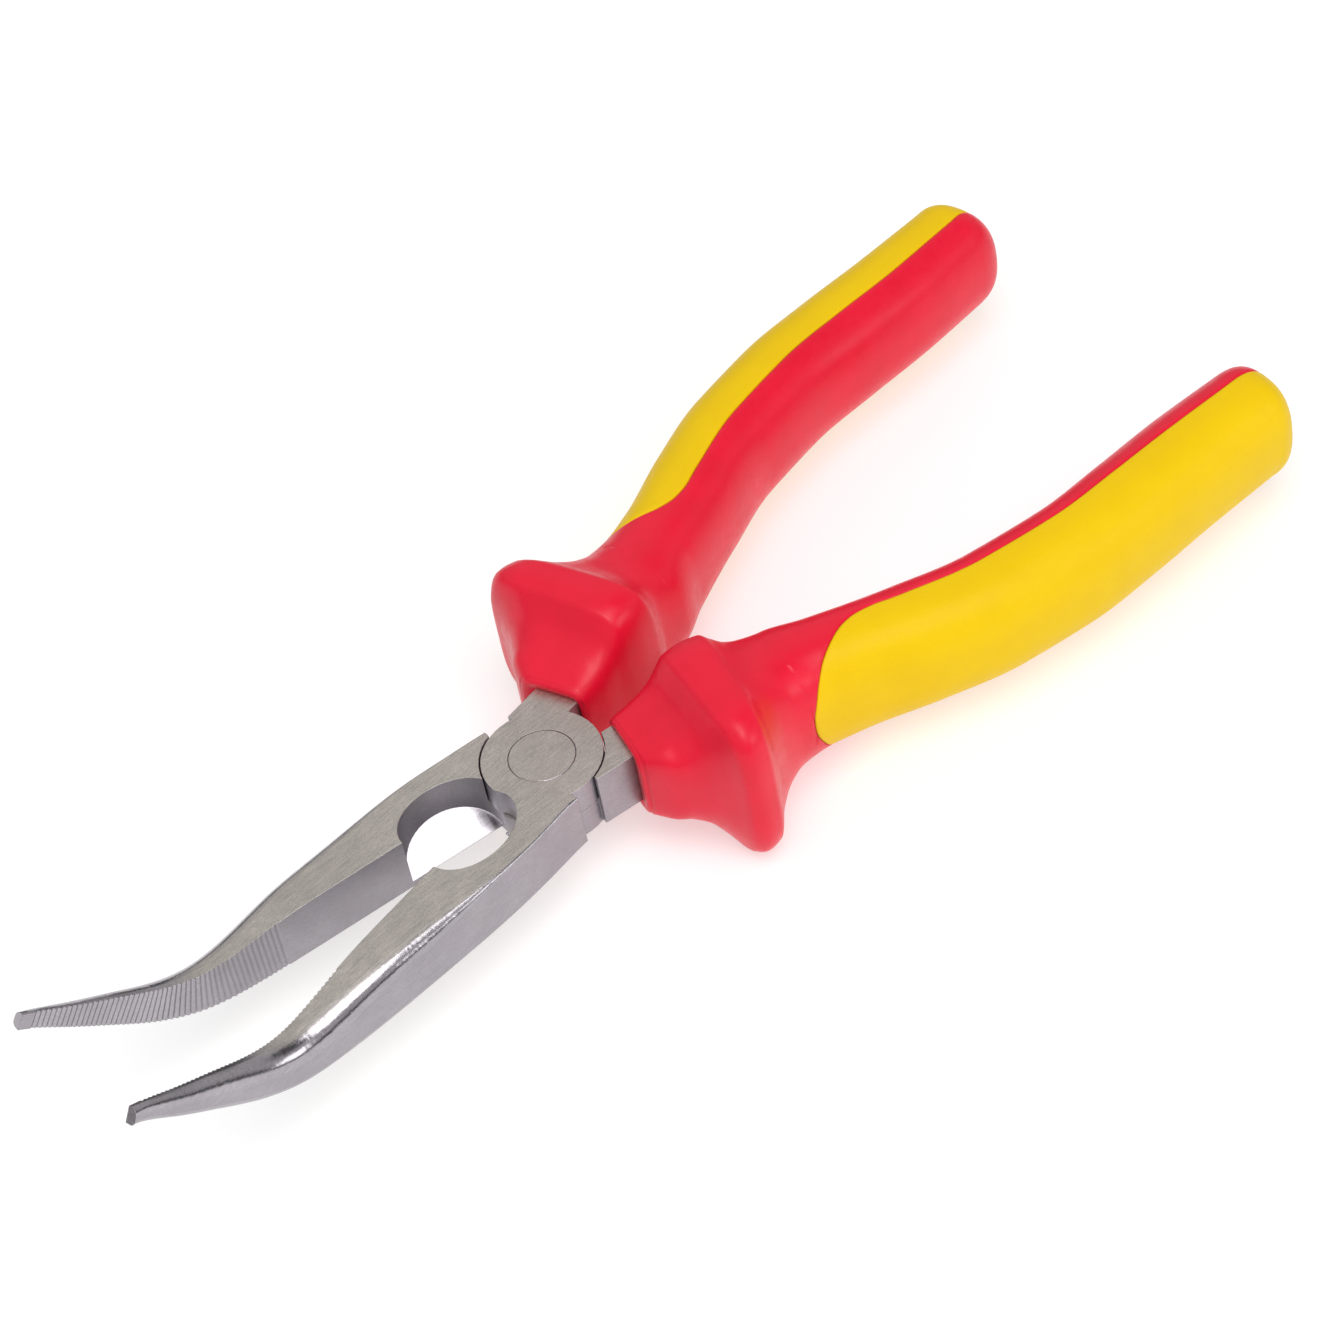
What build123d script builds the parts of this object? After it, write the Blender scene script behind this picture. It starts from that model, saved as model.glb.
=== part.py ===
from build123d import *
from math import cos, radians, sin
import os

# Bent long-nose pliers with side cutters and insulated handles, lying slightly open.
# Lengths are millimetres and angles are degrees.
#
# The origin is on the pivot axis, half way through the joint. The jaws point along +X, the
# levers open across Y, and the jaw tips bend up towards +Z. Each piece is first made for
# lever A with the jaws shut, where the gripping faces meet on the plane Y = 0: the jaw of
# lever A is on the +Y side of that plane and its handle is on the -Y side. Lever B is the
# mirror image, except that its joint disc is the lower one. Both are then turned about the
# pivot to the resting opening.

# Opening between the gripping faces, and how far each face stands back from the shut plane
rest_opening = 16.1
face_clearance = 0.03

# Lap joint
half_thickness = 4.61
disc_radius = 8.70
disc_gap = 0.25
lap_clearance = 0.04
shoulder_x = 3.5

# Rivet, pressed into lever A and running free in lever B
rivet_head_radius = 4.87
rivet_head_depth = 1.8
rivet_shank_radius = 3.4
rivet_clearance = 0.05
rivet_chamfer = 0.15

# Side cutter: an oval notch with a sloping floor that ends in the cutting edge
notch_centre_x = 15.87
notch_half_length = 7.69
notch_half_width = 5.72
notch_wall_bottom = -0.7
cutting_edge_z = -3.7
relief_width = 1.4
relief_length = 12.5
overcut = 1.0

# Path of the jaw: straight along X, one upward arc, then straight to the tip
bend_start = 52.3
bend_radius = 25.2
bend_angle = 33.5
jaw_length = 86.0

# Jaw stations: distance along the path, width, top, bottom, round of the outer top edge,
# round of the outer bottom edge
jaw_stations = [
    (shoulder_x, 9.35, half_thickness, -half_thickness, 0.3, 0.3),
    (10.0, 9.25, half_thickness, -half_thickness, 0.3, 0.3),
    (18.0, 9.0, half_thickness, -half_thickness, 0.4, 0.35),
    (26.0, 8.35, half_thickness, -half_thickness, 1.2, 0.5),
    (34.0, 7.5, 4.55, -4.62, 2.0, 0.7),
    (42.0, 6.5, 4.3, -4.65, 2.4, 0.8),
    (50.0, 5.35, 3.3, -4.5, 2.9, 0.9),
    (57.0, 4.35, 2.8, -3.8, 2.9, 0.9),
    (64.0, 3.4, 2.72, -2.85, 2.45, 0.9),
    (71.0, 2.7, 2.3, -2.3, 2.0, 0.85),
    (78.0, 2.1, 1.75, -1.75, 1.55, 0.8),
    (jaw_length, 1.5, 1.23, -1.23, 1.1, 0.7),
]

# Teeth across the gripping face
teeth_start = 44.5
teeth_margin = 0.8
tooth_pitch = 0.8
tooth_depth = 0.22
tooth_reach = 6.0

# Tang: x, distance of its centre line from the plane Y = 0, width, thickness
tang_front_x = -3.2
tang_stations = [
    (-14.0, 5.5, 6.8, 2 * half_thickness),
    (-27.0, 8.4, 6.8, 8.6),
    (-40.0, 11.7, 6.4, 7.9),
    (-53.0, 15.1, 6.0, 7.2),
    (-66.0, 17.7, 5.8, 6.6),
    (-79.0, 18.1, 5.6, 6.1),
    (-92.0, 16.7, 5.2, 5.6),
    (-105.0, 15.0, 4.8, 5.0),
]
sleeve_thickness = 1.0
sleeve_front_x = -16.0
sleeve_end = 1.5
sleeve_trim = 16.0

# Guard: x and offset of the section's centre, half width, half height, corner round. These
# sections lean, so that their outer side is further forward.
guard_lean = 10.5
guard_stations = [
    (-9.9, 6.5, 5.4, 6.4, 1.6),
    (-11.7, 7.1, 6.1, 6.9, 2.0),
    (-15.9, 9.5, 8.6, 9.0, 4.6),
    (-19.3, 12.8, 12.4, 13.6, 5.0),
    (-24.4, 12.8, 12.2, 13.5, 5.0),
]

# Grip behind the guard: x and offset of the section's centre, half width, half height
grip_stations = [
    (-28.7, 10.5, 9.0, 10.6),
    (-41.2, 11.9, 7.4, 9.5),
    (-53.7, 15.3, 7.6, 9.1),
    (-66.2, 17.8, 7.5, 9.1),
    (-78.7, 18.2, 7.5, 9.1),
    (-91.2, 16.9, 7.6, 9.0),
    (-103.7, 15.2, 7.6, 8.8),
    (-116.2, 14.0, 7.2, 8.8),
]
grip_corner_share = 0.85
grip_end_length = 6.4
grip_end_round = 5.0

# Yellow panel: its edge as seen from above, as x and distance from the plane Y = 0. It slants
# in from the outer side, turns at a corner and then keeps a little inside the grip's
# centre line, right to the end of the handle.
panel_outside = (-22.5, 27.0)
panel_corner = (-45.0, 11.6)
panel_inset = 1.85
panel_reach = 16.0
panel_far_y = -48.0
panel_end_x = -129.0


def path_plane(distance):
    """Plane square to the jaw's path, with its local X across the jaw and its local Y up."""
    arc_angle = min(max((distance - bend_start) / bend_radius, 0.0), radians(bend_angle))
    past_arc = max(distance - bend_start - bend_radius * radians(bend_angle), 0.0)
    x = min(distance, bend_start) + bend_radius * sin(arc_angle) + past_arc * cos(arc_angle)
    z = bend_radius * (1.0 - cos(arc_angle)) + past_arc * sin(arc_angle)
    forward = (cos(arc_angle), 0, sin(arc_angle))
    return Plane(origin=(x, face_clearance, z), x_dir=(0, 1, 0), z_dir=forward)


def jaw():
    """Neck and jaw: flat where they grip, with a round that grows along the outer top edge."""
    with BuildPart() as piece:
        for distance, width, top, bottom, top_round, bottom_round in jaw_stations:
            with BuildSketch(path_plane(distance)) as section:
                with Locations((0, bottom)):
                    Rectangle(width, top - bottom, align=(Align.MIN, Align.MIN))
                fillet(section.vertices().group_by(Axis.X)[-1].sort_by(Axis.Y)[-1], top_round)
                fillet(section.vertices().group_by(Axis.X)[-1].sort_by(Axis.Y)[0], bottom_round)
        loft()
    return piece.part


def teeth():
    """V grooves across the gripping face, from the middle of the jaw to its tip."""
    toothed_length = jaw_length - teeth_margin - teeth_start
    with BuildPart() as grooves:
        for number in range(int(toothed_length / tooth_pitch)):
            across = path_plane(teeth_start + number * tooth_pitch)
            groove = Plane(origin=across.origin, x_dir=across.z_dir, z_dir=across.y_dir)
            with BuildSketch(groove):
                with BuildLine():
                    Polyline(
                        (-tooth_pitch / 2, -overcut),
                        (-tooth_pitch / 2, 0),
                        (0, tooth_depth),
                        (tooth_pitch / 2, 0),
                        (tooth_pitch / 2, -overcut),
                        close=True,
                    )
                make_face()
        extrude(amount=tooth_reach, both=True)
    return grooves.part


def cutter_notch():
    """What is cut away for the side cutter: the oval notch, and the relief under its edge."""
    floor_slope = (notch_wall_bottom - cutting_edge_z) / notch_half_width
    reach = notch_half_width + overcut
    relief_slope = (half_thickness + cutting_edge_z) / relief_width
    with BuildPart() as cut:
        with BuildSketch(Plane.XY.offset(-half_thickness)):
            with Locations((notch_centre_x, 0)):
                Ellipse(notch_half_length, notch_half_width)
        extrude(amount=2 * half_thickness + overcut)
        with BuildSketch(Plane.YZ):
            with BuildLine():
                Polyline(
                    (-reach, half_thickness + overcut),
                    (reach, half_thickness + overcut),
                    (reach, cutting_edge_z + floor_slope * reach),
                    (-reach, cutting_edge_z - floor_slope * reach),
                    close=True,
                )
            make_face()
        extrude(amount=notch_centre_x + notch_half_length, mode=Mode.INTERSECT)
        with BuildSketch(Plane.YZ.offset(notch_centre_x - notch_half_length)):
            with BuildLine():
                Polyline(
                    (-overcut, cutting_edge_z + relief_slope * overcut),
                    (relief_width + overcut, -half_thickness - relief_slope * overcut),
                    (-overcut, -half_thickness - overcut),
                    close=True,
                )
            make_face()
        extrude(amount=relief_length)
    return cut.part


def tang():
    """Square block behind the joint disc, running back into the handle and getting thinner."""
    front_offset = tang_stations[0][1]
    front_width = tang_stations[0][2]
    with BuildPart() as piece:
        with BuildSketch(Plane.YZ.offset(tang_front_x)):
            with Locations((-front_offset, 0)):
                Rectangle(front_width, 2 * half_thickness)
        extrude(amount=tang_stations[0][0] - tang_front_x)
        for x, offset, width, thickness in tang_stations:
            with BuildSketch(Plane.YZ.offset(x)):
                with Locations((-offset, 0)):
                    Rectangle(width, thickness)
        loft(ruled=True)
    return piece.part


def lever(disc_side):
    """One steel forging, with its joint disc in the upper half (1) or the lower half (-1)."""
    own_side = Plane(origin=(0, 0, disc_side * lap_clearance), z_dir=(0, 0, disc_side))
    other_side = Plane(origin=(0, 0, disc_side * lap_clearance), z_dir=(0, 0, -disc_side))
    with BuildPart() as piece:
        add(jaw())
        add(tang())
        with BuildSketch(other_side):
            Circle(disc_radius + disc_gap)
        extrude(amount=half_thickness + overcut, mode=Mode.SUBTRACT)
        with BuildSketch(own_side):
            Circle(disc_radius)
        extrude(amount=half_thickness - lap_clearance)
        add(cutter_notch(), mode=Mode.SUBTRACT)
        add(teeth(), mode=Mode.SUBTRACT)
    return piece.part


def rivet_form(clearance, head_top):
    """Rivet with a head at each end, grown by a running clearance. Its ends are at head_top."""
    head_under = half_thickness - rivet_head_depth - clearance
    with BuildPart() as piece:
        with BuildSketch(Plane.XY.offset(-head_top)):
            Circle(rivet_head_radius + clearance)
        extrude(amount=head_top - head_under)
        with BuildSketch(Plane.XY.offset(-head_top)):
            Circle(rivet_shank_radius + clearance)
        extrude(amount=2 * head_top)
        with BuildSketch(Plane.XY.offset(head_under)):
            Circle(rivet_head_radius + clearance)
        extrude(amount=head_top - head_under)
    return piece.part


def sleeve():
    """First insulating layer: a skin of even thickness over the hidden part of the tang."""
    growth = 2 * sleeve_thickness
    with BuildPart() as piece:
        for x, offset, width, thickness in tang_stations:
            with BuildSketch(Plane.YZ.offset(x)):
                with Locations((-offset, 0)):
                    Rectangle(width + growth, thickness + growth)
        loft(ruled=True)
        extrude(piece.faces().sort_by(Axis.X)[0], amount=sleeve_end)
        with BuildSketch(Plane.YZ.offset(sleeve_front_x)):
            with Locations((-tang_stations[0][1], 0)):
                Rectangle(sleeve_trim, sleeve_trim)
        extrude(amount=sleeve_trim, mode=Mode.SUBTRACT)
    return piece.part


def leaning_plane(x, offset):
    """Plane across the guard, with its local X towards the inner side and its local Y up."""
    lean = radians(guard_lean)
    inward = (-sin(lean), cos(lean), 0)
    return Plane(origin=(x, -offset, 0), x_dir=inward, z_dir=(cos(lean), sin(lean), 0))


def grip_form():
    """Outside of one moulded handle: collar, flaring guard, waist, grip and rounded end."""
    waist = grip_stations[0]
    with BuildPart() as piece:
        for x, offset, half_width, half_height, corner in guard_stations:
            with BuildSketch(leaning_plane(x, offset)):
                RectangleRounded(2 * half_width, 2 * half_height, corner)
        with BuildSketch(Plane.YZ.offset(waist[0])):
            with Locations((-waist[1], 0)):
                corner = grip_corner_share * min(waist[2], waist[3])
                RectangleRounded(2 * waist[2], 2 * waist[3], corner)
        loft(ruled=True)
        for x, offset, half_width, half_height in grip_stations:
            with BuildSketch(Plane.YZ.offset(x)):
                with Locations((-offset, 0)):
                    corner = grip_corner_share * min(half_width, half_height)
                    RectangleRounded(2 * half_width, 2 * half_height, corner)
        loft()
        extrude(piece.faces().sort_by(Axis.X)[0], amount=grip_end_length)
        fillet(piece.faces().sort_by(Axis.X)[0].edges(), grip_end_round)
    return piece.part


def panel_region():
    """Everything on the outer side of the seam between the red and the yellow plastic."""
    behind_corner = [station for station in grip_stations if station[0] < panel_corner[0]]
    seam = [(x, panel_inset - offset) for x, offset, half_width, half_height in behind_corner]
    outside = (panel_outside[0], -panel_outside[1])
    corner = (panel_corner[0], -panel_corner[1])
    with BuildPart() as region:
        with BuildSketch(Plane.XY.offset(-panel_reach)):
            with BuildLine():
                Line(outside, corner)
                Spline(corner, *seam)
                Polyline(
                    seam[-1],
                    (panel_end_x, seam[-1][1]),
                    (panel_end_x, panel_far_y),
                    (outside[0], panel_far_y),
                    outside,
                )
            make_face()
        extrude(amount=2 * panel_reach)
    return region.part


def moulding():
    """Red and yellow plastic together, hollow where the tang and its sleeve go in."""
    with BuildPart() as piece:
        add(grip_form())
        add(tang(), mode=Mode.SUBTRACT)
        add(sleeve(), mode=Mode.SUBTRACT)
    return piece.part


def at_rest(piece, side):
    """Turn a piece to its resting angle, as it is for lever A or mirrored for lever B."""
    if side == "a":
        return piece.rotate(Axis.Z, rest_opening / 2)
    return piece.mirror(Plane.XZ).rotate(Axis.Z, -rest_opening / 2)


pieces = {}

with BuildPart() as pivot_rivet:
    add(rivet_form(0, half_thickness))
    head_edges = pivot_rivet.edges().filter_by(GeomType.CIRCLE).group_by(Axis.Z)
    chamfer([*head_edges[0], *head_edges[-1]], rivet_chamfer)
pieces["pivot_rivet"] = pivot_rivet

for side, disc_side, rivet_fit in [("a", 1, 0), ("b", -1, rivet_clearance)]:
    with BuildPart() as forging:
        add(at_rest(lever(disc_side), side))
        add(rivet_form(rivet_fit, half_thickness + overcut), mode=Mode.SUBTRACT)
    pieces[f"lever_{side}"] = forging

    with BuildPart() as inner_sleeve:
        add(at_rest(sleeve(), side))
        add(at_rest(tang(), side), mode=Mode.SUBTRACT)
    pieces[f"inner_sleeve_{side}"] = inner_sleeve

    with BuildPart() as red_grip:
        add(at_rest(moulding(), side))
        add(at_rest(panel_region(), side), mode=Mode.SUBTRACT)
    pieces[f"red_grip_{side}"] = red_grip

    with BuildPart() as yellow_grip:
        add(at_rest(moulding(), side))
        add(at_rest(panel_region(), side), mode=Mode.INTERSECT)
    pieces[f"yellow_grip_{side}"] = yellow_grip

os.makedirs("parts", exist_ok=True)
for name, piece in pieces.items():
    piece.part.label = name
    export_step(piece.part, f"parts/{name}.step")
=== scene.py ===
import bmesh
import bpy
import math
import numpy as np
from mathutils import Matrix, Vector


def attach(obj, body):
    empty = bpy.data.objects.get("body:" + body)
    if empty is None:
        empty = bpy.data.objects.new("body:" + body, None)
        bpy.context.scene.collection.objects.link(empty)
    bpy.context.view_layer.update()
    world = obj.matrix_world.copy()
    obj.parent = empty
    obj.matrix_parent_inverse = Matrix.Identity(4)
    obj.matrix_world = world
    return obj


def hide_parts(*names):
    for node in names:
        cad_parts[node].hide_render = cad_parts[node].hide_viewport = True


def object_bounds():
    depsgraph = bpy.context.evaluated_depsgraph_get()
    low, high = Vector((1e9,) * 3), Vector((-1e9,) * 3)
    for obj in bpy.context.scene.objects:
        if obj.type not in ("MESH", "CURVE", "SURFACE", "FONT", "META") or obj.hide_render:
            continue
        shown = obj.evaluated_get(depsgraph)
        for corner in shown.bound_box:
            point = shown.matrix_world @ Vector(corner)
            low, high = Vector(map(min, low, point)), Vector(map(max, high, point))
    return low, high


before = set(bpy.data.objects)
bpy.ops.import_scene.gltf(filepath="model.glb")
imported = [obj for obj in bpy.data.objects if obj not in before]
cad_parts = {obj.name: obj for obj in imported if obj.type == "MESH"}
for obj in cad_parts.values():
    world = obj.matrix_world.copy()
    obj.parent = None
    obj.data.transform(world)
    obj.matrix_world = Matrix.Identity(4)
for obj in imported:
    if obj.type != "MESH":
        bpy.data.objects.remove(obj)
cad_low, cad_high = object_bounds()

# Lengths of the object are written in millimetres and scaled to metres when a mesh is made.
MM = 0.001
REST_HALF_ANGLE = math.radians(16.1 / 2)

# Handle surface of one lever with the jaws shut. q is the distance from the plane between the
# levers, measured outwards; a section is taken at the distance t behind the pivot.
# Columns: t, lean of the section, inner q, outer q, half height, squareness of the inner side,
# squareness of the outer side (2 is an ellipse, 6 nearly a rectangle).
GUARD_SECTIONS = [
    (10.0, 0.175, 1.0, 11.7, 6.35, 5.0, 5.0),
    (12.2, 0.172, 0.9, 14.6, 6.95, 5.2, 4.8),
    (14.4, 0.160, 0.8, 16.8, 7.80, 5.4, 3.4),
    (16.6, 0.140, 0.8, 19.3, 9.40, 5.6, 3.0),
    (18.2, 0.120, 0.7, 22.0, 11.6, 5.6, 3.3),
    (19.3, 0.110, 0.6, 24.2, 13.1, 5.6, 4.0),
    (21.5, 0.140, 0.5, 24.9, 13.5, 5.6, 4.6),
    (24.3, 0.190, 0.8, 24.5, 13.3, 5.2, 4.4),
    (26.2, 0.160, 1.2, 22.2, 12.3, 4.2, 3.2),
    (28.8, 0.090, 1.9, 19.9, 11.1, 3.2, 2.6),
    (31.6, 0.030, 2.2, 18.8, 10.3, 2.8, 2.4),
    (34.9, 0.0, 2.4, 18.5, 9.85, 2.5, 2.5),
]
# The grip behind the guard: t, centre q, half width, half height; all of one squareness
GRIP_SECTIONS = [
    (41.2, 11.95, 7.4, 9.5),
    (53.7, 15.3, 7.6, 9.1),
    (66.2, 17.8, 7.5, 9.1),
    (78.7, 18.2, 7.5, 9.1),
    (91.2, 16.9, 7.6, 9.0),
    (103.7, 15.2, 7.6, 8.8),
    (116.2, 14.0, 7.2, 8.8),
]
GRIP_SQUARENESS = 2.5
GRIP_END = GRIP_SECTIONS[-1][0]
# Rounded end behind the grip. Its last section is kept just above nothing, so that it has sides.
CAP_LENGTH = 5.9
CAP_SQUARENESS = 2.6
CAP_ROWS = 22
CAP_LEAST_COSINE = 1e-4
# Seam between red and yellow seen from above: t, and how far it is inside the grip's outer
# side. It starts at the outer side, and it runs straight over the rounded end.
SEAM = [
    (33.6, 0.0),
    (34.4, 0.28),
    (35.8, 1.2),
    (38.0, 3.0),
    (41.0, 5.3),
    (44.0, 7.4),
    (47.0, 8.8),
    (50.5, 9.45),
    (95.0, 9.45),
    (116.2, 8.7),
]
SEAM_START = SEAM[0][0]
# Groove along the seam: its depth, its reach to each side, and the t of the last point that it
# sinks towards
GROOVE_DEPTH = 0.22
GROOVE_REACH = 0.45
GROOVE_LAST_CENTRE = 112.0
# Thickness of the moulded wall
WALL = 0.8
# Hole in the collar that the tang goes through: t of its mouth, q limits, half height
TANG_HOLE = (10.1, 2.05, 8.95, 4.68)
HOLE_DEPTH = 2.6
HOLE_SQUARENESS = 24.0
# Rounded lip of the collar: t of its front, how far it is drawn in there, its length, its steps
LIP_FRONT = 9.7
LIP_INSET = 0.8
LIP_LENGTH = 0.6
LIP_STEPS = 5

# Sections of the mesh along the handle. They are fine up to the grip and coarse along it.
BODY_START = 10.3
FINE_STEP = 0.3
FINE_END = 49.0
COARSE_START = 49.5
COARSE_STEP = 0.9
# Where the seam begins, the sections crowd together: the gap before them, the length that they
# fill, how many they are, the power that spaces them, and where the even ones go on
CROWD_GAP = 0.2
CROWD_LENGTH = 1.2
CROWD_COUNT = 16
CROWD_POWER = 3
CROWD_END = 1.35
# Points of one half section: all of them, and extra ones near its top, as angles from there
SECTION_POINTS = 181
TOP_POINTS = 41
TOP_REACH = 0.1
ANGLE_DIGITS = 9
# Columns of the mesh beside the seam, as distances from it. They are drawn together where less
# than the full length is left to the edge of the half. Then how many columns lie beyond them.
NEAR_SEAM = np.array([0, 0.1, 0.2, 0.32, 0.48, 0.7])
FULL_LENGTH = 3
RED_COLUMNS = 44
YELLOW_COLUMNS = 34
SHORTEST_ARC = 1e-6
NO_LENGTH = 1e-9
# Points closer than this are merged, and edges shorter than this are removed, in metres
MERGE_DISTANCE = 2e-6
SHORTEST_EDGE = 1e-6


def smooth_through(known_t, known_value, t):
    """Monotone cubic curve through known points: it doesn't overshoot between them."""
    gap = np.diff(known_t)
    slope = np.diff(known_value) / gap
    tangent = np.zeros(len(known_t))
    for i in range(1, len(known_t) - 1):
        if slope[i - 1] * slope[i] > 0:
            before = 2 * gap[i] + gap[i - 1]
            after = gap[i] + 2 * gap[i - 1]
            tangent[i] = (before + after) / (before / slope[i - 1] + after / slope[i])
    tangent[0] = slope[0]
    tangent[-1] = slope[-1]
    i = np.clip(np.searchsorted(known_t, t) - 1, 0, len(gap) - 1)
    s = (t - known_t[i]) / gap[i]
    return (
        known_value[i] * (1 + 2 * s) * (1 - s) ** 2
        + tangent[i] * gap[i] * s * (1 - s) ** 2
        + known_value[i + 1] * s**2 * (3 - 2 * s)
        + tangent[i + 1] * gap[i] * s**2 * (s - 1)
    )


def body_rows():
    """Sections from behind the lip of the collar to the end of the grip."""
    table = [list(row) for row in GUARD_SECTIONS]
    for t, centre, half_width, half_height in GRIP_SECTIONS:
        sides = [centre - half_width, centre + half_width]
        table.append([t, 0.0, *sides, half_height, GRIP_SQUARENESS, GRIP_SQUARENESS])
    table = np.array(table)
    t_values = np.concatenate([
        np.arange(BODY_START, SEAM_START - CROWD_GAP, FINE_STEP),
        SEAM_START + CROWD_LENGTH * np.linspace(0, 1, CROWD_COUNT) ** CROWD_POWER,
        np.arange(SEAM_START + CROWD_END, FINE_END, FINE_STEP),
        np.arange(COARSE_START, GRIP_END, COARSE_STEP),
        [GRIP_END],
    ])
    columns = [
        smooth_through(table[:, 0], table[:, k], t_values)
        for k in range(1, table.shape[1])
    ]
    return [[t, *values] for t, values in zip(t_values, np.array(columns).T)]


def front_rows():
    """Sections of the hole in the collar, from its depth outwards, and of the lip around it."""
    lean, inner, outer, height, square_in, square_out = GUARD_SECTIONS[0][1:]
    mouth, *hole = TANG_HOLE
    rows = [
        [t, lean, *hole, HOLE_SQUARENESS, HOLE_SQUARENESS]
        for t in (mouth + HOLE_DEPTH, mouth)
    ]
    for step in range(LIP_STEPS + 1):
        turn = step / LIP_STEPS * math.pi / 2
        inset = LIP_INSET * (1 - math.sin(turn))
        t = LIP_FRONT + LIP_LENGTH * (1 - math.cos(turn))
        sides = [inner + inset, outer - inset]
        rows.append([t, lean, *sides, height - inset, square_in, square_out])
    return rows


def cap_rows(last):
    """Sections of the rounded end behind the last one of the grip. They shrink onto the seam."""
    t, _, inner, outer, height, *squareness = last
    tip = outer - SEAM[-1][1]
    rows = []
    for step in range(1, CAP_ROWS + 1):
        turn = step / CAP_ROWS * math.pi / 2
        along = CAP_LENGTH * math.sin(turn) ** (2 / CAP_SQUARENESS)
        scale = max(math.cos(turn), CAP_LEAST_COSINE) ** (2 / CAP_SQUARENESS)
        sides = [tip + (inner - tip) * scale, tip + (outer - tip) * scale]
        rows.append([t + along, 0.0, *sides, height * scale, *squareness])
    return rows


def handle_rows():
    """Every section of the handle, from the hole in the collar to the tip of the cap."""
    body = body_rows()
    return front_rows() + body + cap_rows(body[-1])


def half_section(row):
    """Upper half of one section, from its outer side over the top to its inner side."""
    t, lean, inner, outer, height, square_in, square_out = row
    top = math.pi / 2
    turn = (1 - np.cos(np.linspace(0, math.pi, SECTION_POINTS))) / 2 * math.pi
    turn = np.concatenate([turn, np.linspace(top - TOP_REACH, top + TOP_REACH, TOP_POINTS)])
    turn = np.unique(np.round(turn, ANGLE_DIGITS))
    cosine = np.cos(turn)
    # the squareness goes over from one side's to the other's around the top
    mix = 0.5 + 0.5 * np.clip(2 * cosine, -1, 1)
    square = square_in * (1 - mix) + square_out * mix
    centre = (inner + outer) / 2
    q = centre + (outer - inner) / 2 * np.sign(cosine) * np.abs(cosine) ** (2 / square)
    z = height * np.abs(np.sin(turn)) ** (2 / square)
    z[0] = 0.0
    z[-1] = 0.0
    return np.stack([lean * (q - centre) - t, q, z], -1)


def seam_q(row):
    """Distance of the seam from the plane between the levers, or more than any q before it."""
    t, inner, outer = row[0], row[2], row[3]
    if t < SEAM_START:
        return math.inf
    if t > SEAM[-1][0]:
        # the end's sections shrink onto the seam, so it keeps its share of each and runs straight
        return outer - (outer - inner) * SEAM[-1][1] / (2 * GRIP_SECTIONS[-1][2])
    points = np.array(SEAM)
    return outer - float(smooth_through(points[:, 0], points[:, 1], t))


def seam_length(curve, arc, level):
    """Length along a half section, from its outer side, at which it crosses the seam's q."""
    is_outside = curve[:, 1] > level
    if not is_outside.any():
        return 0.0
    if is_outside.all():
        return arc[-1]
    k = int(np.argmin(is_outside))
    share = (curve[k - 1, 1] - level) / (curve[k - 1, 1] - curve[k, 1])
    return arc[k - 1] + share * (arc[k] - arc[k - 1])


def at_length(curve, arc, where):
    """Points of a half section at the given lengths along it."""
    return np.stack([np.interp(where, arc, curve[:, k]) for k in range(3)], -1)


def spaced(length, count):
    """Distances from the seam of the columns over one stretch: close ones first, then even."""
    close = NEAR_SEAM * min(1.0, length / FULL_LENGTH)
    return np.concatenate([close, np.linspace(close[-1], length, count)[1:]])


def mirrored(half):
    """A whole row of points, from the upper half of it."""
    return np.concatenate([half, half[-2::-1] * (1, 1, -1)])


def cut_groove(grid, centres, seam):
    """Let the surface sink towards the centre of each row along the seam."""
    inward = centres[:, None, :] - grid
    inward /= np.maximum(np.linalg.norm(inward, axis=-1, keepdims=True), NO_LENGTH)
    nearest = np.full(grid.shape[:2], np.inf)
    for point in seam:
        nearest = np.minimum(nearest, np.linalg.norm(grid - point, axis=-1))
    depth = GROOVE_DEPTH * np.clip(1 - nearest / GROOVE_REACH, 0, 1) ** 2
    return grid + inward * depth[..., None]


def handle_grids():
    """Vertex grids of the red and the yellow moulding, with the seam as their shared edge."""
    red, yellow, seam = [], [], []
    red_centres, yellow_centres = [], []
    for row in handle_rows():
        curve = half_section(row)
        steps = np.linalg.norm(np.diff(curve, axis=0), axis=1)
        arc = np.concatenate([[0], np.cumsum(steps)])
        total = arc[-1]
        start = seam_length(curve, arc, seam_q(row))
        # over the rounded end the groove sinks back into the handle, not across a small section
        centre = (-min(row[0], GROOVE_LAST_CENTRE), (row[2] + row[3]) / 2, 0.0)
        if total - start > SHORTEST_ARC:
            half = at_length(curve, arc, start + spaced(total - start, RED_COLUMNS))
            red.append(mirrored(half))
            red_centres.append(centre)
        if start > SHORTEST_ARC:
            half = at_length(curve, arc, start - spaced(start, YELLOW_COLUMNS))
            # turned round, so that it runs the same way about the section as the red does
            yellow.append(mirrored(half)[::-1])
            yellow_centres.append(centre)
            if start < total:
                edge = at_length(curve, arc, np.array([start]))[0]
                seam.append(edge)
                seam.append(edge * (1, 1, -1))
    seam = np.array(seam)
    red = cut_groove(np.array(red), np.array(red_centres), seam)
    yellow = cut_groove(np.array(yellow), np.array(yellow_centres), seam)
    return red, yellow


def place(points, side):
    """From the shut lever's own q to the row frame, at the resting angle, in metres."""
    sign = -1 if side == "a" else 1
    x, y, z = points[..., 0], sign * points[..., 1], points[..., 2]
    turn = REST_HALF_ANGLE if side == "a" else -REST_HALF_ANGLE
    turned_x = x * math.cos(turn) - y * math.sin(turn)
    turned_y = x * math.sin(turn) + y * math.cos(turn)
    return np.stack([turned_x, turned_y, z], -1) * MM


def add_object(name, data):
    """New object in the scene."""
    made = bpy.data.objects.new(name, data)
    bpy.context.scene.collection.objects.link(made)
    return made


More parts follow.
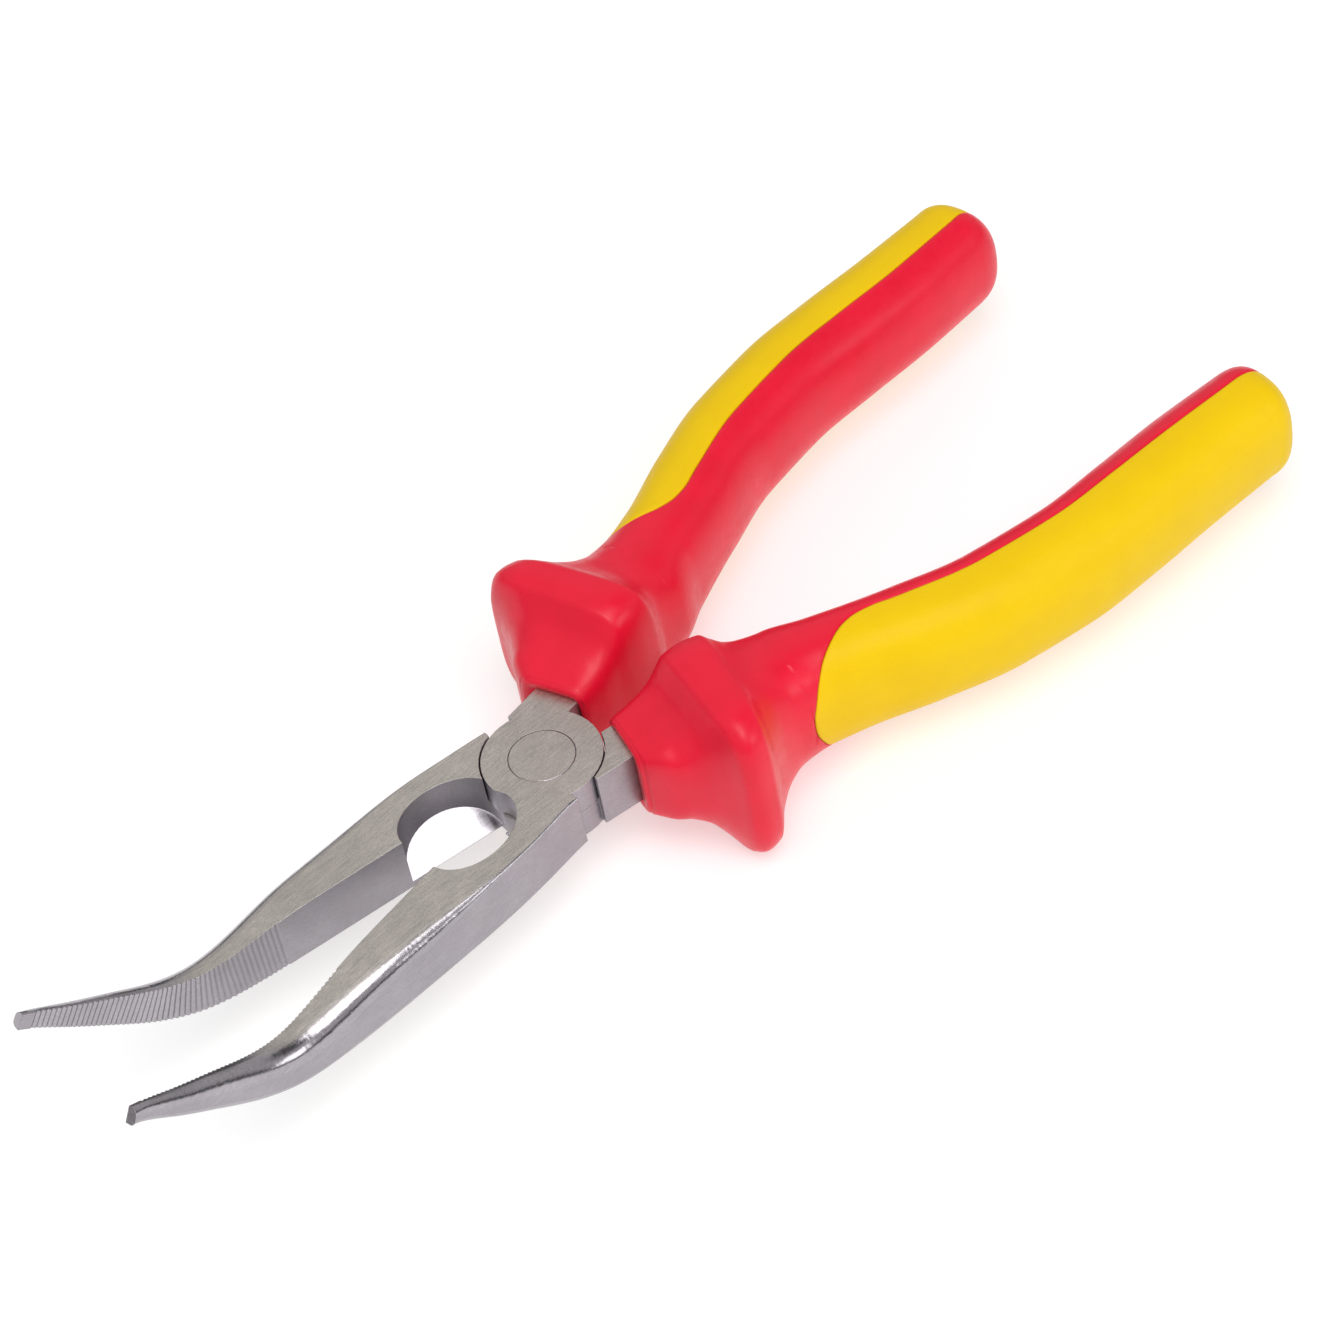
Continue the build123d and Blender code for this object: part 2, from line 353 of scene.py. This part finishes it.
def shell(name, grid, side, material):
    """One moulding as a mesh with a real wall, riding on its lever and standing for its solid."""
    rows, columns = grid.shape[:2]
    points = place(grid, side).reshape(-1, 3)
    faces = []
    for i in range(rows - 1):
        for j in range(columns - 1):
            first = i * columns + j
            below = first + columns
            corners = [first, first + 1, below + 1, below]
            faces.append(corners if side == "a" else corners[::-1])
    mesh = bpy.data.meshes.new(name)
    mesh.from_pydata(points.tolist(), [], faces)
    made = bmesh.new()
    made.from_mesh(mesh)
    bmesh.ops.remove_doubles(made, verts=made.verts, dist=MERGE_DISTANCE)
    bmesh.ops.dissolve_degenerate(made, edges=made.edges, dist=SHORTEST_EDGE)
    for face in made.faces:
        face.smooth = True
    made.to_mesh(mesh)
    made.free()
    piece = add_object(name, mesh)
    mesh.materials.append(material)
    wall = piece.modifiers.new("wall", "SOLIDIFY")
    wall.thickness = WALL * MM
    wall.offset = -1
    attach(piece, f"lever_{side}_body")
    return piece


EDGE_SAMPLES = 4
FINE_DETAIL = 3.0


class Nodes:
    """Adds shader nodes to a material or a world and links them."""

    def __init__(self, owner, shader_name="Principled BSDF"):
        owner.use_nodes = True
        self.owner = owner
        self.tree = owner.node_tree
        self.shader = self.tree.nodes[shader_name]

    def add(self, kind, inputs=None, **settings):
        node = self.tree.nodes.new(kind)
        for key, value in settings.items():
            setattr(node, key, value)
        for key, value in (inputs or {}).items():
            self.put(node.inputs[key], value)
        return node

    def put(self, socket, value):
        if isinstance(value, bpy.types.NodeSocket):
            self.tree.links.new(value, socket)
        else:
            socket.default_value = value

    def set(self, name, value):
        self.put(self.shader.inputs[name], value)

    def coordinates(self, scale=(1, 1, 1), turn=0.0):
        source = self.add("ShaderNodeTexCoord").outputs["Object"]
        inputs = {"Vector": source, "Scale": scale, "Rotation": (0, 0, turn)}
        return self.add("ShaderNodeMapping", inputs).outputs["Vector"]

    def noise(self, vector, scale, detail=2.0, roughness=0.5):
        inputs = {"Vector": vector, "Scale": scale, "Detail": detail, "Roughness": roughness}
        return self.add("ShaderNodeTexNoise", inputs).outputs["Fac"]

    def ramp(self, factor, limits, ends=(0, 1)):
        """Goes from the first end to the second as the factor goes from limit to limit."""
        low, high = limits
        start, end = ends
        inputs = {"Value": factor, "From Min": low, "From Max": high, "To Min": start, "To Max": end}
        return self.add("ShaderNodeMapRange", inputs).outputs["Result"]

    def maths(self, operation, *values):
        return self.add("ShaderNodeMath", dict(enumerate(values)), operation=operation).outputs[0]

    def blend(self, factor, first, second):
        node = self.add("ShaderNodeMix", data_type="RGBA")
        self.put(node.inputs["Factor"], factor)
        self.put(node.inputs["A"], first)
        self.put(node.inputs["B"], second)
        return node.outputs["Result"]

    def rounded_edges(self, radius):
        node = self.add("ShaderNodeBevel", {"Radius": radius}, samples=EDGE_SAMPLES)
        return node.outputs["Normal"]

    def bump(self, height, distance, strength, normal):
        inputs = {"Height": height, "Distance": distance, "Strength": strength, "Normal": normal}
        return self.add("ShaderNodeBump", inputs).outputs["Normal"]


# Scales of the noises are in features per metre, and heights and radii are in metres. A range
# gives the limits of a noise between which a colour or a roughness changes.
PLASTIC_CLOUD_SCALE = 160
PLASTIC_SPECKLE_SCALE = 5200
PLASTIC_SHEEN_SCALE = 900
PLASTIC_WAVE_SCALE = 110
PLASTIC_WAVE_HEIGHT = 0.0004
PLASTIC_GRAIN_SCALE = 3800
PLASTIC_GRAIN_HEIGHT = 0.00003
PLASTIC_EDGE_RADIUS = 0.0003
PLASTIC_TONE_RANGE = (0.12, 0.38)
PLASTIC_SHEEN_RANGE = (0.35, 0.65)
PLASTIC_WAVE_STRENGTH = 0.25
PLASTIC_GRAIN_STRENGTH = 0.5
SMOOTHER = 0.04
ROUGHER = 0.05
GRAIN_ROUGHNESS = 0.6
SUBSURFACE_WEIGHT = 0.015
SUBSURFACE_COLOURS = (1.0, 0.35, 0.2)
SUBSURFACE_DEPTH = 0.0012


def moulded_plastic(name, colour, deep_colour, roughness, shine):
    """Satin moulded plastic: faint mottling in the colour, fine grain and soft waviness."""
    n = Nodes(bpy.data.materials.new(name))
    place_at = n.coordinates()
    cloud = n.noise(place_at, PLASTIC_CLOUD_SCALE, detail=FINE_DETAIL)
    speckle = n.noise(place_at, PLASTIC_SPECKLE_SCALE)
    tone = n.maths("MULTIPLY", cloud, speckle)
    n.set("Base Color", n.blend(n.ramp(tone, PLASTIC_TONE_RANGE), deep_colour, colour))
    sheen = n.noise(place_at, PLASTIC_SHEEN_SCALE, detail=FINE_DETAIL)
    ends = (roughness - SMOOTHER, roughness + ROUGHER)
    n.set("Roughness", n.ramp(sheen, PLASTIC_SHEEN_RANGE, ends))
    n.set("Specular IOR Level", shine)
    n.set("Subsurface Weight", SUBSURFACE_WEIGHT)
    n.set("Subsurface Radius", SUBSURFACE_COLOURS)
    n.set("Subsurface Scale", SUBSURFACE_DEPTH)
    waves = n.noise(place_at, PLASTIC_WAVE_SCALE)
    rounded = n.rounded_edges(PLASTIC_EDGE_RADIUS)
    wavy = n.bump(waves, PLASTIC_WAVE_HEIGHT, PLASTIC_WAVE_STRENGTH, rounded)
    grain = n.noise(place_at, PLASTIC_GRAIN_SCALE, FINE_DETAIL, GRAIN_ROUGHNESS)
    n.set("Normal", n.bump(grain, PLASTIC_GRAIN_HEIGHT, PLASTIC_GRAIN_STRENGTH, wavy))
    return n.owner


STEEL_STREAK_STRETCH = (0.06, 1.0, 1.0)
STEEL_GRAIN_SCALE = 5200
STEEL_SPECKLE_SCALE = 4200
STEEL_CLOUD_SCALE = 130
STEEL_SPECKLE_ROUGHNESS = 0.7
STEEL_GRAIN_HEIGHT = 0.000012
STEEL_GRAIN_STRENGTH = 0.7
STEEL_EDGE_RADIUS = 0.00016
STEEL_NOISE_RANGE = (0.3, 0.7)
STEEL_WARM = ((0.64, 0.59, 0.54, 1), (0.73, 0.675, 0.615, 1))
# Colour of the upright sides: a darker, cooler copy of the steel, as painted shade
STEEL_SIDE_SHADE = ((0.40, 0.375, 0.41, 1), (0.47, 0.445, 0.48, 1))
STEEL_PITS = (0.28, 0.26, 0.26, 1)
STEEL_PIT_RANGE = (0.80, 1.20)
STEEL_PIT_SHARE = (0.50, 0.0)
SATIN_ROUGHNESS = (0.40, 0.52)
POLISHED_ROUGHNESS = (0.12, 0.20)
# How much a face looks up or down, from nothing at an upright side to 1 at a flat face
FLAT_RANGE = (0.90, 0.99)
SIDE_RANGE = (0.16, 0.05)


def ground_steel(name, turn):
    """Ground steel: warm satin faces up and down, painted shade on the sides as a darker, cooler
    copy, fine streaks along the lever.
    """
    n = Nodes(bpy.data.materials.new(name))
    place_at = n.coordinates(turn=turn)
    streaks_at = n.coordinates(STEEL_STREAK_STRETCH, turn)
    grain = n.noise(streaks_at, STEEL_GRAIN_SCALE, FINE_DETAIL, GRAIN_ROUGHNESS)
    speckle = n.noise(place_at, STEEL_SPECKLE_SCALE, FINE_DETAIL, STEEL_SPECKLE_ROUGHNESS)
    cloud = n.noise(place_at, STEEL_CLOUD_SCALE, detail=FINE_DETAIL)
    facing = n.add("ShaderNodeTexCoord").outputs["Normal"]
    upright = n.add("ShaderNodeSeparateXYZ", {"Vector": facing}).outputs["Z"]
    flatness = n.maths("ABSOLUTE", upright)
    is_flat = n.ramp(flatness, FLAT_RANGE)
    is_side = n.ramp(flatness, SIDE_RANGE)
    warm = n.blend(n.ramp(cloud, STEEL_NOISE_RANGE), *STEEL_WARM)
    # Upright sides get the darker, cooler copy as painted shade, and flat faces keep the warm steel
    painted_side_shade = n.blend(n.ramp(cloud, STEEL_NOISE_RANGE), *STEEL_SIDE_SHADE)
    plain = n.blend(is_flat, painted_side_shade, warm)
    mixed = n.maths("ADD", grain, speckle)
    pitting = n.ramp(mixed, STEEL_PIT_RANGE, STEEL_PIT_SHARE)
    n.set("Base Color", n.blend(pitting, plain, STEEL_PITS))
    n.set("Metallic", 1.0)
    # flat faces and upright sides are satin, and what lies between them is polished
    satin = n.ramp(grain, STEEL_NOISE_RANGE, SATIN_ROUGHNESS)
    polished = n.ramp(grain, STEEL_NOISE_RANGE, POLISHED_ROUGHNESS)
    is_satin = n.maths("MAXIMUM", is_flat, is_side)
    roughness = n.add("ShaderNodeMix", {"Factor": is_satin, "A": polished, "B": satin})
    n.set("Roughness", roughness.outputs[0])
    rounded = n.rounded_edges(STEEL_EDGE_RADIUS)
    n.set("Normal", n.bump(mixed, STEEL_GRAIN_HEIGHT, STEEL_GRAIN_STRENGTH, rounded))
    return n.owner


red_plastic = moulded_plastic(
    "red_plastic", (0.83, 0.008, 0.038, 1), (0.75, 0.007, 0.031, 1), roughness=0.33, shine=0.32,
)
yellow_plastic = moulded_plastic(
    "yellow_plastic", (0.87, 0.575, 0.001, 1), (0.83, 0.54, 0.001, 1), roughness=0.44, shine=0.16,
)
sleeve_plastic = moulded_plastic(
    "sleeve_plastic", (0.80, 0.62, 0.12, 1), (0.70, 0.52, 0.09, 1), roughness=0.5, shine=0.2,
)
lever_steel_a = ground_steel("lever_steel_a", -REST_HALF_ANGLE)
lever_steel_b = ground_steel("lever_steel_b", REST_HALF_ANGLE)


def coat(node_name, material):
    """Give a node of the frame its finished material."""
    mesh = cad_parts[node_name].data
    mesh.materials.clear()
    mesh.materials.append(material)


coat("lever_a", lever_steel_a)
coat("lever_b", lever_steel_b)
coat("pivot_rivet", lever_steel_a)
coat("inner_sleeve_a", sleeve_plastic)
coat("inner_sleeve_b", sleeve_plastic)

red_grid, yellow_grid = handle_grids()
for side in "ab":
    red = shell(f"red_moulding_{side}", red_grid, side, red_plastic)
    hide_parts(f"red_grip_{side}")
    yellow = shell(f"yellow_moulding_{side}", yellow_grid, side, yellow_plastic)
    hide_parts(f"yellow_grip_{side}")

# Camera: where it looks, how far back it stands, its direction and its tilt
TARGET = Vector((-25.475, -2.578, 0.0)) * MM
DISTANCE = 596.0 * MM
AZIMUTH = 54.92
ELEVATION = 46.01
ROLL = math.radians(-11.80)
LENS = 113.0
SENSOR_WIDTH = 36.0
NEAREST_SEEN = 0.01
FARTHEST_SEEN = 20.0


def direction_to(azimuth, elevation):
    """Unit vector towards a place given by two angles in degrees."""
    a, e = math.radians(azimuth), math.radians(elevation)
    return Vector((math.cos(e) * math.cos(a), math.cos(e) * math.sin(a), math.sin(e)))


back = direction_to(AZIMUTH, ELEVATION)
level_right = Vector((-math.sin(math.radians(AZIMUTH)), math.cos(math.radians(AZIMUTH)), 0.0))
level_up = back.cross(level_right)
right = math.cos(ROLL) * level_right + math.sin(ROLL) * level_up
up = -math.sin(ROLL) * level_right + math.cos(ROLL) * level_up
axes = Matrix((right, up, back)).transposed().to_4x4()
camera_data = bpy.data.cameras.new("camera")
camera_data.lens = LENS
camera_data.sensor_width = SENSOR_WIDTH
camera_data.clip_start = NEAREST_SEEN
camera_data.clip_end = FARTHEST_SEEN
camera = add_object("camera", camera_data)
camera.matrix_world = Matrix.Translation(TARGET + back * DISTANCE) @ axes
bpy.context.scene.camera = camera

FLOOR_HALF_SIDE = 3.0
FLOOR_DROP = 0.0002
FLOOR_CLOUD_SCALE = 40
FLOOR_GREYS = ((0.60, 0.60, 0.60, 1), (0.63, 0.63, 0.63, 1))
FLOOR_GLOW = 0.48
FLOOR_ROUGHNESS = 0.9
FLOOR_SHINE = 0.1


def floor():
    """Plain pale floor just under the object, with a very faint unevenness."""
    half = FLOOR_HALF_SIDE
    z = cad_low.z - FLOOR_DROP
    mesh = bpy.data.meshes.new("floor")
    corners = [(-half, -half, z), (half, -half, z), (half, half, z), (-half, half, z)]
    mesh.from_pydata(corners, [], [(0, 1, 2, 3)])
    piece = add_object("floor", mesh)
    n = Nodes(bpy.data.materials.new("floor_paper"))
    cloud = n.noise(n.coordinates(), FLOOR_CLOUD_SCALE)
    n.set("Base Color", n.blend(cloud, *FLOOR_GREYS))
    n.set("Emission Color", (1, 1, 1, 1))
    n.set("Emission Strength", FLOOR_GLOW)
    n.set("Roughness", FLOOR_ROUGHNESS)
    n.set("Specular IOR Level", FLOOR_SHINE)
    mesh.materials.append(n.owner)


floor()


def studio_light(name, azimuth, elevation, distance, width, power):
    """Soft square light that faces the object."""
    data = bpy.data.lights.new(name, "AREA")
    data.shape = "RECTANGLE"
    data.size = width
    data.size_y = width
    data.energy = power
    light = add_object(name, data)
    towards = direction_to(azimuth, elevation)
    light.location = TARGET + towards * distance
    light.rotation_mode = "QUATERNION"
    light.rotation_quaternion = towards.to_track_quat("Z", "Y")


studio_light("overhead", azimuth=70, elevation=66, distance=0.9, width=0.7, power=5.0)
studio_light("side", azimuth=116, elevation=20, distance=0.8, width=0.28, power=0.7)

# Surroundings: even white, with a dark flag high behind the left side and a dim horizon, so
# that polished edges show contrast. Angles are in degrees.
SURROUND_STRENGTH = 0.62
FLAG_AZIMUTH = 160
FLAG_ELEVATION = 62
FLAG_OUTER_ANGLE = 32
FLAG_INNER_ANGLE = 18
FLAG_LIGHT = 0.22
HORIZON_LOW = 8
HORIZON_HIGH = 16
HORIZON_LIGHT = 0.12


def surroundings():
    """World light with the dark flag and the dim horizon."""
    n = Nodes(bpy.data.worlds.new("studio"), "Background")
    n.set("Color", (1, 1, 1, 1))
    direction = n.add("ShaderNodeTexCoord").outputs["Generated"]

    flag_at = {0: direction, 1: direction_to(FLAG_AZIMUTH, FLAG_ELEVATION)}
    nearness = n.add("ShaderNodeVectorMath", flag_at, operation="DOT_PRODUCT").outputs["Value"]
    outer = math.cos(math.radians(FLAG_OUTER_ANGLE))
    inner = math.cos(math.radians(FLAG_INNER_ANGLE))
    flag = n.ramp(nearness, (outer, inner), (1.0, FLAG_LIGHT))

    upright = n.add("ShaderNodeSeparateXYZ", {0: direction}).outputs["Z"]
    height = n.maths("ABSOLUTE", upright)
    low = math.sin(math.radians(HORIZON_LOW))
    high = math.sin(math.radians(HORIZON_HIGH))
    horizon = n.ramp(height, (low, high), (HORIZON_LIGHT, 1.0))

    both = n.maths("MULTIPLY", flag, horizon)
    n.set("Strength", n.maths("MULTIPLY", both, SURROUND_STRENGTH))
    return n.owner


bpy.context.scene.world = surroundings()
bpy.context.scene.view_settings.view_transform = "Standard"
